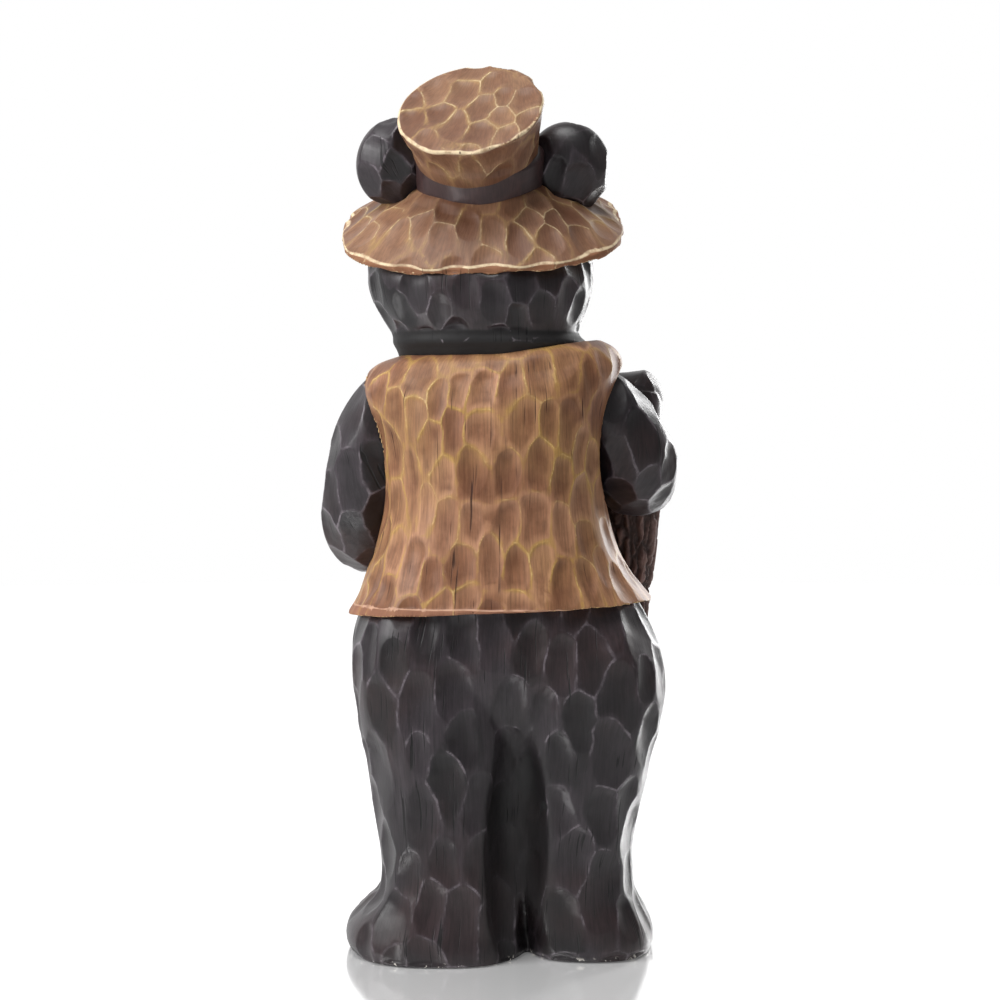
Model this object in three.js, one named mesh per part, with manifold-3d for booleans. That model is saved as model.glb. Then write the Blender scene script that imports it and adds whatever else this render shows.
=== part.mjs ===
import * as THREE from 'three';
import { mergeVertices } from 'three/addons/utils/BufferGeometryUtils.js';
import Module from 'manifold-3d';

const wasm = await Module();
wasm.setup();

// A standing bear carved with a chainsaw from one log: hat, sleeveless vest, bent arms,
// and a post left in its bark under the right elbow. Millimetres, +Z up, the bear faces -Y.

// Driving sizes
const hemHeight = 462;            // underside of the vest
const hemRise = 0.045;            // its hem rises this much for each millimetre towards -X
const hemRiseTo = 545;
const neckHeight = 796;           // where the neck comes out of the vest
const neckRise = 0.15;            // its edge rises this much for each millimetre towards -X
const neckRiseFrom = 690;         // and the vest is level between these two heights
const vestThickness = 13;         // step from the vest down to the fur

// Hat
const brimCentre = [20, -8, 960];
const brimTilt = 25;              // degrees back
const brimRoll = 2;               // degrees down towards +X
const brimHalfWidth = 189;
const brimHalfDepth = 158;
const brimSquareness = 2.7;
const brimEdge = 11;
const brimRise = 76;              // rim up to the band
const crownBase = [24, 20, 1036];
const crownTop = [36, 93, 1116];
const crownTilt = [33, 42];       // at the band and at the top
const crownRoll = [1, 12];
const crownRadius = 80;           // at the band
const crownTopRadius = 97;
const bandHeight = 34;
const bandProud = 6;

// Ears stand on the brim at both sides of the crown
const earLeftHalf = [53, 39, 61];     // half width, half thickness, half height
const earRightHalf = [57, 39, 62];
const earLeft = [136, 14, 1053];
const earRight = [-94, 14, 1046];
const earTilt = 20;               // degrees back
const earLeftLean = -10;          // degrees towards +X
const earRightLean = -4;

// Face
const muzzleAt = [25, -134, 872];
const muzzleHalf = [62, 74, 48];
const noseHalf = [27, 17, 19];
const noseForward = 66;
const noseUp = 20;
const eyeRadius = 12;
const eyeSpread = 46;
const eyeUp = 58;
const browHalf = [66, 36, 24];
const browUp = 82;

// Front opening of the vest, half widths at the neck, the chest and the hem
const openingNeck = 66;
const openingChest = 40;
const openingHem = 104;
const openingCentre = 10;

// Armholes cut through the vest
const armholeHalfDepth = 62;
const armholeHalfHeight = 92;
const armholeHeight = 688;

// The hollow scooped out between the legs, behind
const hollowAt = [-27, 152, 140];
const hollowHalf = [44, 70, 184];

// Toes and fingers
const toeHalf = [24, 34, 25];
const toeCount = 4;
const fingerHalf = [15, 20, 15];
const fingerCount = 4;

// Rows of a stack: height, then the least and greatest x, the least and greatest y, squareness
const leftLeg = [
  [0, -44, 197, -158, 145, 2.5],
  [18, -44, 205, -162, 150, 2.5],
  [38, -42, 200, -158, 149, 2.5],
  [62, -40, 178, -138, 146, 2.8],
  [85, -38, 159, -120, 145, 2.7],
  [125, -37, 156, -112, 145, 2.6],
  [185, -36, 165, -112, 147, 2.6],
  [265, -34, 179, -120, 152, 2.6],
  [345, -30, 192, -128, 154, 2.8],
  [420, -20, 193, -134, 150, 2.8],
  [500, -10, 165, -120, 130, 2.8],
];
const rightLeg = [
  [0, -208, -34, -152, 114, 2.7],
  [18, -211, -34, -156, 119, 2.7],
  [38, -206, -32, -152, 119, 2.7],
  [62, -193, -28, -134, 118, 2.8],
  [85, -184, -22, -118, 119, 2.7],
  [125, -182, -18, -112, 122, 2.6],
  [185, -189, -16, -112, 129, 2.6],
  [265, -209, -12, -120, 140, 2.6],
  [345, -225, -6, -128, 150, 2.8],
  [420, -213, 10, -134, 150, 2.8],
  [500, -170, 10, -120, 130, 2.8],
];
const hips = [
  [215, -34, -8, -40, 50, 2],
  [262, -74, 30, -84, 92, 2.1],
  [306, -124, 88, -112, 124, 2.3],
  [350, -186, 156, -136, 146, 2.6],
  [390, -216, 190, -152, 154, 2.8],
  [430, -208, 193, -160, 153, 2.8],
  [500, -165, 168, -168, 146, 2.8],
  [560, -140, 145, -160, 135, 2.8],
];
const post = [
  [0, -188, -92, -174, -84, 2],
  [60, -181, -97, -172, -88, 2],
  [200, -187, -105, -170, -86, 2],
  [400, -210, -122, -167, -81, 2],
  [560, -228, -134, -161, -71, 2],
  [626, -232, -140, -154, -66, 2],
];
const vestRows = [
  [hemHeight, -208, 201, -176, 164, 3],
  [482, -194, 188, -180, 161, 2.9],
  [505, -178, 179, -184, 158, 2.8],
  [545, -160, 164, -187, 154, 2.7],
  [600, -146, 153, -184, 151, 2.7],
  [655, -142, 157, -172, 151, 2.7],
  [710, -147, 171, -156, 149, 2.7],
  [745, -158, 180, -144, 142, 2.7],
  [766, -168, 179, -132, 132, 2.6],
  [784, -158, 161, -120, 122, 2.5],
  [neckHeight, -138, 130, -106, 108, 2.4],
];
const headRows = [
  [770, -110, 125, -98, 98, 2.4],
  [800, -117, 134, -106, 112, 2.4],
  [812, -120, 140, -110, 120, 2.4],
  [823, -110, 141, -110, 118, 2.4],
  [837, -111, 149, -118, 126, 2.4],
  [865, -122, 166, -130, 136, 2.5],
  [900, -129, 175, -137, 134, 2.5],
  [940, -126, 172, -138, 98, 2.4],
  [985, -104, 150, -124, 48, 2.3],
  [1015, -60, 105, -90, 20, 2.2],
];

// Rows of a limb: x, y, z of its middle, then half width and half depth
const leftArm = [
  [120, 14, 758, 34, 38],
  [142, 13, 732, 48, 50],
  [166, 8, 686, 54, 55],
  [180, -2, 620, 57, 57],
  [182, -32, 563, 54, 57],
  [154, -92, 549, 50, 51],
  [104, -146, 566, 45, 45],
  [66, -176, 582, 42, 44],
];
const rightArm = [
  [-102, 14, 766, 34, 38],
  [-128, 13, 738, 48, 50],
  [-162, 8, 700, 55, 55],
  [-186, -8, 650, 58, 57],
  [-190, -52, 628, 53, 53],
  [-190, -104, 652, 46, 46],
  [-189, -136, 704, 43, 43],
  [-190, -146, 744, 42, 40],
];
const leftPaw = {
  at: [52, -178, 588],
  half: [52, 30, 42],
  turn: [0, 0, -14],
  row: [-6, 0, 30],
  reach: [-44, -4, 0],
  lift: [-7, 0, 0],
};
const rightPaw = {
  at: [-191, -147, 744],
  half: [44, 33, 40],
  turn: [8, 0, 0],
  row: [26, 0, 0],
  reach: [4, -21, 15],
  lift: [0, 0, 7],
};

const radians = Math.PI / 180;

const shape = (geometry) => {
  geometry.deleteAttribute('normal');
  geometry.deleteAttribute('uv');
  const merged = mergeVertices(geometry, 1e-3);
  return new wasm.Manifold(new wasm.Mesh({
    numProp: 3,
    vertProperties: new Float32Array(merged.attributes.position.array),
    triVerts: new Uint32Array(merged.index.array),
  }));
};

// The rows of numbers eased into one another by a Catmull-Rom curve
const eased = (rows, steps) => {
  const row = (i) => rows[Math.min(Math.max(i, 0), rows.length - 1)];
  const out = [];
  for (let i = 0; i < rows.length - 1; i += 1) {
    for (let s = 0; s < steps; s += 1) {
      const t = s / steps;
      out.push(row(i).map((value, k) => {
        const [a, b, c, d] = [row(i - 1)[k], value, row(i + 1)[k], row(i + 2)[k]];
        const slope = (c - a) / 2;
        const next = (d - b) / 2;
        return b + t * (slope + t * (3 * (c - b) - 2 * slope - next
          + t * (2 * (b - c) + slope + next)));
      }));
    }
  }
  out.push(row(rows.length - 1));
  return out;
};

// A closed solid through rings of points, each end closed by a fan to its middle
const skin = (rings) => {
  const count = rings[0].length;
  const positions = [];
  const middle = (ring) => ring
    .reduce((sum, point) => sum.add(point), new THREE.Vector3())
    .divideScalar(count);
  const push = (...points) => points.forEach((point) => positions.push(...point.toArray()));
  const [first, last] = [rings[0], rings[rings.length - 1]];
  const [bottom, top] = [middle(first), middle(last)];
  for (let j = 0; j < count; j += 1) {
    const k = (j + 1) % count;
    push(bottom, first[k], first[j]);
    push(top, last[j], last[k]);
    for (let i = 0; i < rings.length - 1; i += 1) {
      push(rings[i][j], rings[i][k], rings[i + 1][k]);
      push(rings[i][j], rings[i + 1][k], rings[i + 1][j]);
    }
  }
  const geometry = new THREE.BufferGeometry();
  geometry.setAttribute('position', new THREE.Float32BufferAttribute(positions, 3));
  return shape(geometry);
};

const power = (value, squareness) => Math.sign(value) * Math.abs(value) ** (2 / squareness);

// A stack of rounded outlines, each fitted to the box that its row names and lifted by lift(x, z)
const stack = (rows, segments, lift = () => 0) => skin(rows.map(([z, x0, x1, y0, y1, sq]) => (
  Array.from({ length: segments }, (_, j) => {
    const angle = (2 * Math.PI * j) / segments;
    const x = (x0 + x1) / 2 + (x1 - x0) / 2 * power(Math.cos(angle), sq);
    const y = (y0 + y1) / 2 + (y1 - y0) / 2 * power(Math.sin(angle), sq);
    return new THREE.Vector3(x, y, z + lift(x, z));
  }))));

const vestLift = (x, z) => (
  neckRise * Math.max(0, -x) * Math.max(0, (z - neckRiseFrom) / (neckHeight - neckRiseFrom))
  - hemRise * x * Math.max(0, (hemRiseTo - z) / (hemRiseTo - hemHeight)));

// A limb: oval rings square to a path
const limb = (rows, segments, steps) => {
  const path = eased(rows, steps);
  const middles = path.map(([x, y, z]) => new THREE.Vector3(x, y, z));
  const turn = new THREE.Quaternion();
  let heading = new THREE.Vector3(0, 0, 1);
  return skin(middles.map((middle, i) => {
    const next = middles[Math.min(i + 1, middles.length - 1)];
    const along = next.clone().sub(middles[Math.max(i - 1, 0)]).normalize();
    turn.premultiply(new THREE.Quaternion().setFromUnitVectors(heading, along));
    heading = along;
    return Array.from({ length: segments }, (_, j) => {
      const angle = (2 * Math.PI * j) / segments;
      return new THREE.Vector3(path[i][3] * Math.cos(angle), path[i][4] * Math.sin(angle), 0)
        .applyQuaternion(turn)
        .add(middle);
    });
  }));
};

// One rounded ring, tilted back and rolled towards +X about the point at
const leaning = ({ at, rx, ry, tilt, roll, z = 0, squareness = 2, segments }) => {
  const lean = new THREE.Euler(-tilt * radians, roll * radians, 0, 'YXZ');
  return Array.from({ length: segments }, (_, j) => {
    const angle = (2 * Math.PI * j) / segments;
    const across = rx * power(Math.cos(angle), squareness);
    return new THREE.Vector3(across, ry * power(Math.sin(angle), squareness), z)
      .applyEuler(lean)
      .add(new THREE.Vector3(...at));
  });
};

// Rings up one tilted axis, as [height, half width, half depth]
const turned = (rows, place) => skin(rows.map(([z, rx, ry]) => leaning({ ...place, z, rx, ry })));

const ball = ({ at, half, turn = [0, 0, 0], detail = [16, 10] }) => {
  const geometry = new THREE.SphereGeometry(1, ...detail);
  geometry.rotateX(Math.PI / 2);
  geometry.scale(...half);
  geometry.rotateX(turn[0] * radians);
  geometry.rotateY(turn[1] * radians);
  geometry.rotateZ(turn[2] * radians);
  geometry.translate(...at);
  return shape(geometry);
};

const joined = (solids) => solids.reduce((whole, solid) => whole.add(solid));

const makeHat = () => {
  const brim = turned([
    [-3, 120, 104],
    [0, brimHalfWidth - 5, brimHalfDepth - 5],
    [3, brimHalfWidth, brimHalfDepth],
    [brimEdge, brimHalfWidth - 1, brimHalfDepth - 1],
    [brimEdge + 4, brimHalfWidth - 7, brimHalfDepth - 7],
    [brimRise * 0.55, brimHalfWidth * 0.73, brimHalfDepth * 0.74],
    [brimRise * 0.78, brimHalfWidth * 0.54, brimHalfDepth * 0.58],
    [brimRise - 2, brimHalfWidth * 0.4, brimHalfDepth * 0.45],
  ], { at: brimCentre, tilt: brimTilt, roll: brimRoll, squareness: brimSquareness, segments: 34 });
  const band = turned([
    [-24, crownRadius + bandProud - 2, crownRadius + bandProud - 2],
    [0, crownRadius + bandProud, crownRadius + bandProud],
    [bandHeight, crownRadius + bandProud, crownRadius + bandProud],
    [bandHeight + 3, crownRadius, crownRadius],
  ], { at: crownBase, tilt: crownTilt[0] - 2, roll: crownRoll[0] / 2, segments: 26 });
  const between = (ends, share) => ends[0] + (ends[1] - ends[0]) * share;
  const crown = skin([
    [-0.1, crownRadius, crownRadius],
    [0.25, crownRadius, crownRadius],
    [0.6, crownRadius + 7, crownRadius + 7],
    [0.92, crownTopRadius, crownTopRadius + 1],
    [0.98, crownTopRadius - 1, crownTopRadius],
    [1, crownTopRadius - 7, crownTopRadius - 6],
  ].map(([share, rx, ry]) => leaning({
    at: crownBase.map((value, k) => between([value, crownTop[k]], share)),
    tilt: between(crownTilt, share),
    roll: between(crownRoll, share),
    rx,
    ry,
    segments: 26,
  })));
  return joined([brim, band, crown]);
};

const makeEars = () => joined([
  ball({ at: earLeft, half: earLeftHalf, turn: [-earTilt, earLeftLean, 8], detail: [14, 9] }),
  ball({ at: earRight, half: earRightHalf, turn: [-earTilt, earRightLean, -8], detail: [14, 9] }),
]);

const makeHead = () => {
  const muzzle = ball({ at: muzzleAt, half: muzzleHalf, turn: [8, 0, 0], detail: [18, 10] });
  const [x, y, z] = muzzleAt;
  const nose = ball({ at: [x, y - noseForward, z + noseUp], half: noseHalf, detail: [14, 8] });
  const brow = ball({ at: [x, y + 20, z + browUp], half: browHalf, detail: [16, 8] });
  const eyes = [-1, 1].map((side) => ball({
    at: [x + side * eyeSpread, y - 4, z + eyeUp],
    half: [eyeRadius, eyeRadius, eyeRadius],
    detail: [10, 7],
  }));
  return joined([stack(headRows, 26), muzzle, nose, brow, ...eyes]);
};

// Toes in a fan along the front of a foot
const makeToes = (middle, spread, front, count) => joined(
  Array.from({ length: count }, (_, i) => {
    const across = (2 * i) / (count - 1) - 1;
    return ball({
      at: [middle + across * spread, front + 22 * across * across, toeHalf[2] + 1],
      half: toeHalf,
      turn: [0, 0, across * 16],
      detail: [9, 6],
    });
  }),
);

// Fingers side by side along the front edge of a paw
const makeFingers = ({ row, lift, reach, at, turn }) => joined(
  Array.from({ length: fingerCount }, (_, i) => {
    const across = (2 * i) / (fingerCount - 1) - 1;
    const place = at.map((value, k) => value + row[k] * across + reach[k]
      - lift[k] * across * across);
    return ball({ at: place, half: fingerHalf, turn, detail: [7, 5] });
  }),
);

const makeVest = () => {
  const outline = new THREE.Shape();
  outline.moveTo(-openingNeck, neckHeight + 20);
  outline.quadraticCurveTo(-openingChest, 690, -openingChest, 620);
  outline.quadraticCurveTo(-openingChest, 520, -openingHem, hemHeight - 20);
  outline.lineTo(openingHem, hemHeight - 20);
  outline.quadraticCurveTo(openingChest, 520, openingChest, 620);
  outline.quadraticCurveTo(openingChest, 690, openingNeck, neckHeight + 20);
  outline.closePath();
  const front = new THREE.ExtrudeGeometry(outline, {
    depth: 200, bevelEnabled: false, curveSegments: 8,
  });
  front.rotateX(Math.PI / 2);
  front.translate(openingCentre, -50, 0);
  const armholes = [-1, 1].map((side) => {
    const oval = new THREE.CylinderGeometry(1, 1, 140, 28);
    oval.rotateZ(Math.PI / 2);
    oval.scale(1, armholeHalfDepth, armholeHalfHeight);
    oval.translate(side * 190, 4, armholeHeight);
    return shape(oval);
  });
  return stack(vestRows, 36, vestLift)
    .subtract(shape(front))
    .subtract(armholes[0])
    .subtract(armholes[1]);
};

// The fur under the vest: the vest's own rows, drawn in by its thickness
const makeTrunk = () => stack(vestRows.map(([z, x0, x1, y0, y1, sq], i) => [
  z - (i === 0 ? 8 : 0),
  x0 + vestThickness,
  x1 - vestThickness,
  y0 + vestThickness,
  y1 - vestThickness,
  sq,
]), 24, vestLift);

const makeBear = () => {
  const legs = joined([stack(leftLeg, 26), stack(rightLeg, 26), stack(hips, 24)])
    .subtract(ball({ at: hollowAt, half: hollowHalf, detail: [12, 10] }));
  const whole = joined([
    legs,
    stack(post, 16),
    makeToes(74, 66, -150, toeCount),
    makeToes(-72, 42, -146, toeCount - 1),
    makeTrunk(),
    makeVest(),
    makeHead(),
    makeHat(),
    makeEars(),
    limb(leftArm, 18, 2),
    limb(rightArm, 18, 2),
    ball({ ...leftPaw, detail: [16, 10] }),
    ball({ ...rightPaw, detail: [16, 10] }),
    makeFingers(leftPaw),
    makeFingers(rightPaw),
  ]);
  const mesh = whole.getMesh();
  const geometry = new THREE.BufferGeometry();
  geometry.setAttribute('position', new THREE.BufferAttribute(mesh.vertProperties, 3));
  geometry.setIndex(new THREE.BufferAttribute(mesh.triVerts, 1));
  geometry.computeBoundingBox();
  const { min, max } = geometry.boundingBox;
  geometry.translate(-(min.x + max.x) / 2, -(min.y + max.y) / 2, -min.z);
  geometry.computeVertexNormals();
  return geometry;
};

const bear = new THREE.Mesh(
  makeBear(),
  new THREE.MeshStandardMaterial({ color: 0x3a3639, roughness: 0.5, metalness: 0 }),
);
bear.name = 'carved_bear';

const group = new THREE.Group();
group.add(bear);

export default group;
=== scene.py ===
import math

import bmesh
import bpy
import numpy as np
from mathutils import Euler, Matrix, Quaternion, Vector


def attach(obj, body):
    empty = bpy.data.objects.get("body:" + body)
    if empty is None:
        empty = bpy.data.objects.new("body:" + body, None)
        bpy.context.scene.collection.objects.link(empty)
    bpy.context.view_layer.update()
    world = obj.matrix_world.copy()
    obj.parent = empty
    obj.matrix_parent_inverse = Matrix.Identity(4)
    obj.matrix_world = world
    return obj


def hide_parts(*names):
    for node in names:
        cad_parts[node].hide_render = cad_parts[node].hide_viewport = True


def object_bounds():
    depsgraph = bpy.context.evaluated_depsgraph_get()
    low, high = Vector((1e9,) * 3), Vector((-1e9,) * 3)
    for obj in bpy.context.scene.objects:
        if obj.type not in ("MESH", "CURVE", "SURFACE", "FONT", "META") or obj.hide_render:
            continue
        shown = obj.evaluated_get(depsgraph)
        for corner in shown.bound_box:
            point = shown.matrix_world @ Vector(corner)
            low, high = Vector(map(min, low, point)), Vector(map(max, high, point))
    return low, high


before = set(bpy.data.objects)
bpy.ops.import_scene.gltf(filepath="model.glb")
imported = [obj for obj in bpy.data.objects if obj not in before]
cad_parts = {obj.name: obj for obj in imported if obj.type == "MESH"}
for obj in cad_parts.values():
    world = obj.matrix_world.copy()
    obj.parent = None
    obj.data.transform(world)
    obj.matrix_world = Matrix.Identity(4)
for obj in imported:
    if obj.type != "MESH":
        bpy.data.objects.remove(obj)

cadLow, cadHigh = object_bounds()
mm = 0.001


# Lofts, in millimetres. A stack row is height, least and greatest x, least and greatest y, squareness
def eased(rows, steps):
    rows = np.array(rows, float)
    last = len(rows) - 1
    out = []
    for i in range(last):
        a, b, c, d = rows[max(i - 1, 0)], rows[i], rows[i + 1], rows[min(i + 2, last)]
        slope, after = (c - a) / 2, (d - b) / 2
        for s in range(steps):
            t = s / steps
            out.append(b + t * (slope + t * (3 * (c - b) - 2 * slope - after
                                             + t * (2 * (b - c) + slope + after))))
    out.append(rows[last])
    return np.array(out)


def power(value, squareness):
    return np.sign(value) * np.abs(value) ** (2 / squareness)


def angles(segments):
    return np.linspace(0, 2 * math.pi, segments, endpoint=False)


def skin(rings):  # a closed solid through rings of points
    rings = np.array(rings, float)
    count, segments = rings.shape[:2]
    points = np.vstack([rings.reshape(-1, 3), rings[0].mean(0), rings[-1].mean(0)])
    bottom, top = len(points) - 2, len(points) - 1
    faces = []
    for j in range(segments):
        k = (j + 1) % segments
        for i in range(count - 1):
            a, b = i * segments, (i + 1) * segments
            faces.append((a + j, a + k, b + k, b + j))
        end = (count - 1) * segments
        faces.append((bottom, k, j))
        faces.append((top, end + j, end + k))
    return points, faces


def stack(rows, segments=96, steps=7, lift=None):
    a = angles(segments)
    rings = []
    for z, x0, x1, y0, y1, sq in eased(rows, steps):
        x = (x0 + x1) / 2 + (x1 - x0) / 2 * power(np.cos(a), sq)
        y = (y0 + y1) / 2 + (y1 - y0) / 2 * power(np.sin(a), sq)
        rings.append(np.column_stack([x, y, z + (lift(x, z) if lift else 0 * x)]))
    return skin(rings)


def limb(rows, segments=48, steps=8):  # a limb row is x, y, z of its middle, half width, half depth
    path = eased(rows, steps)
    a = angles(segments)
    turn, heading, rings = Quaternion(), Vector((0, 0, 1)), []
    for i, (x, y, z, wide, deep) in enumerate(path):
        after, before = path[min(i + 1, len(path) - 1)], path[max(i - 1, 0)]
        along = Vector(after[:3] - before[:3]).normalized()
        turn = heading.rotation_difference(along) @ turn
        heading = along
        spin = np.array(turn.to_matrix())
        oval = np.column_stack([wide * np.cos(a), deep * np.sin(a), np.zeros(segments)])
        rings.append(oval @ spin.T + (x, y, z))
    return skin(rings)


def leanOf(tilt, roll):
    return np.array(Euler((0, math.radians(roll), 0)).to_matrix()
                    @ Euler((math.radians(-tilt), 0, 0)).to_matrix())


def leaning(at, half, tilt, roll, z=0.0, squareness=2.0, segments=140):  # one ring, tilted back and rolled
    a = angles(segments)
    ring = np.column_stack([half[0] * power(np.cos(a), squareness),
                            half[1] * power(np.sin(a), squareness), np.full(segments, z)])
    return ring @ leanOf(tilt, roll).T + at


def ball(at, half, turn=(0, 0, 0), segments=40, count=24):
    a = angles(segments)
    heights = np.linspace(-math.pi / 2, math.pi / 2, count + 1)[1:-1]
    rings = [np.column_stack([np.cos(h) * np.cos(a), np.cos(h) * np.sin(a),
                              np.full(segments, math.sin(h))]) for h in heights]
    points, faces = skin(rings)
    points[-2:] = (0, 0, -1), (0, 0, 1)
    spin = np.array(Euler([math.radians(t) for t in turn], "XYZ").to_matrix())
    return (points * half) @ spin.T + at, faces


def outward(point, offset):
    return tuple(a + b for a, b in zip(point, offset))


# Nodes, for the carving and for the finishes
def node(tree, kind, inputs=None, **settings):
    made = tree.nodes.new(kind)
    for key, value in settings.items():
        setattr(made, key, value)
    for key, value in (inputs or {}).items():
        if isinstance(value, bpy.types.NodeSocket):
            tree.links.new(value, made.inputs[key])
        else:
            made.inputs[key].default_value = value
    return made


def calc(tree, operation, a, b=0.0, clamp=False):
    return node(tree, "ShaderNodeMath", {0: a, 1: b}, operation=operation, use_clamp=clamp).outputs[0]


def plus(tree, a, b):
    return calc(tree, "ADD", a, b)


def less(tree, a, b):
    return calc(tree, "SUBTRACT", a, b)


def times(tree, a, b, clamp=False):
    return calc(tree, "MULTIPLY", a, b, clamp)


def step(tree, value, low, high, outLow=0.0, outHigh=1.0):
    return node(tree, "ShaderNodeMapRange", {0: value, 1: low, 2: high, 3: outLow, 4: outHigh},
                interpolation_type="SMOOTHSTEP").outputs[0]


def vec(tree, operation, a, b=(0, 0, 0)):
    return node(tree, "ShaderNodeVectorMath", {0: a, 1: b}, operation=operation).outputs[0]


def dot(tree, a, b):
    return node(tree, "ShaderNodeVectorMath", {0: a, 1: b}, operation="DOT_PRODUCT").outputs["Value"]


def grown(tree, vector, amount):
    return node(tree, "ShaderNodeVectorMath", {0: vector, "Scale": amount}, operation="SCALE").outputs[0]


def xyz(tree, x=0.0, y=0.0, z=0.0):
    return node(tree, "ShaderNodeCombineXYZ", {0: x, 1: y, 2: z}).outputs[0]


def parts(tree, vector):
    return node(tree, "ShaderNodeSeparateXYZ", {0: vector}).outputs


def noise(tree, vector, scale, detail=2.0, rough=0.5, out="Fac"):
    return node(tree, "ShaderNodeTexNoise", {"Vector": vector, "Scale": scale, "Detail": detail,
                                            "Roughness": rough}).outputs[out]


def newGroup(name, kind, inputs, outputs):
    tree = bpy.data.node_groups.new(name, kind)
    for label, socketType, value in inputs:
        socket = tree.interface.new_socket(label, in_out="INPUT", socket_type=socketType)
        if value is not None:
            socket.default_value = value
    for label, socketType in outputs:
        tree.interface.new_socket(label, in_out="OUTPUT", socket_type=socketType)
    return tree, tree.nodes.new("NodeGroupInput"), tree.nodes.new("NodeGroupOutput")


def store(tree, geometry, name, value, kind="FLOAT"):
    return node(tree, "GeometryNodeStoreNamedAttribute",
                {"Geometry": geometry, "Name": name, "Value": value},
                data_type=kind, domain="POINT").outputs[0]


def recall(tree, name, kind="FLOAT_VECTOR"):
    return node(tree, "GeometryNodeInputNamedAttribute", {"Name": name}, data_type=kind).outputs[0]


def finishOff(tree, geometry, material, result):
    single = node(tree, "GeometryNodeRealizeInstances", {0: geometry}).outputs[0]
    painted = node(tree, "GeometryNodeSetMaterial", {"Geometry": single, "Material": material})
    tree.links.new(painted.outputs[0], result.inputs[0])


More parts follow.
